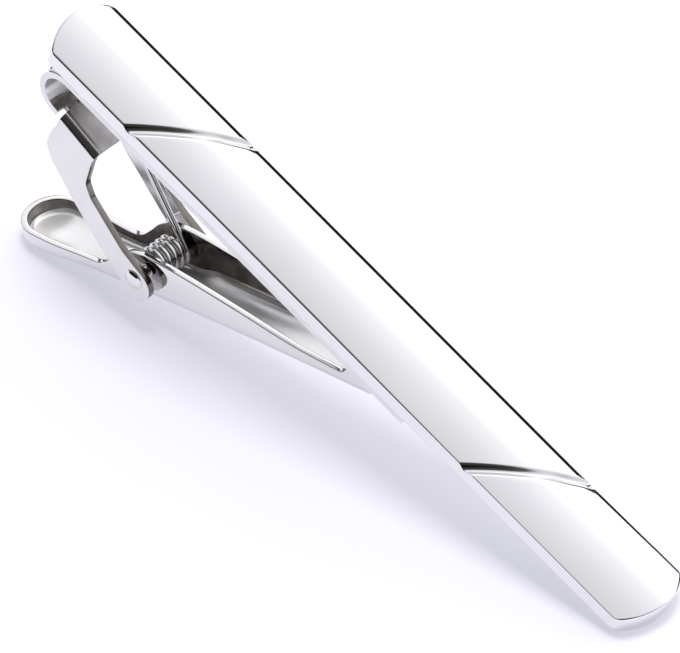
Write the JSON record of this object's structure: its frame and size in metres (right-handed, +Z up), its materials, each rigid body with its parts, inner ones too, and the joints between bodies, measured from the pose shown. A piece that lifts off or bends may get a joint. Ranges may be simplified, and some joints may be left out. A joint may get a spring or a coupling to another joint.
{
  "type": "tie clip",
  "caption": "Bright-plated sprung tie clip: a crowned bar with diagonal cuts, backed by a stamped clasp bracket carrying a channel-shaped lever on a rivet and torsion spring.",
  "frame": {"origin": "centre of the footprint, on the surface the clip rests on", "axes": "+X along the clip from the clasp end towards the bar's free end, +Y across the bar, +Z up; the clip rests on the lever's thumb end and the bar's free end, so the bar leans down towards +X"},
  "size_m": [0.0598, 0.0066, 0.0223],
  "materials": {
    "bar_plate": "mirror-polished plating",
    "solder": "dull tin",
    "clasp_plate": "bright plating over stamped strip",
    "lever_plate": "bright plating over stamped strip",
    "rivet_plate": "bright plating",
    "spring_wire": "drawn spring wire, bright"
  },
  "bodies": {
    "bar_and_clasp": {"front_bar": "bar_plate", "solder_film": "solder", "clasp_bracket": "clasp_plate", "pivot_rivet": "rivet_plate", "torsion_spring": "spring_wire"},
    "lever": {"clip_lever": "lever_plate"}
  },
  "joints": [
    {"name": "lever_hinge", "type": "hinge", "parent": "bar_and_clasp", "child": "lever", "pos_m": [-0.01689, 0, 0.00468], "axis": [0, 1, 0], "range_deg": [0, 16], "stiffness_Nm_per_rad": 0.0212, "springref_deg": -30, "deforming": ["torsion_spring"]}
  ]
}
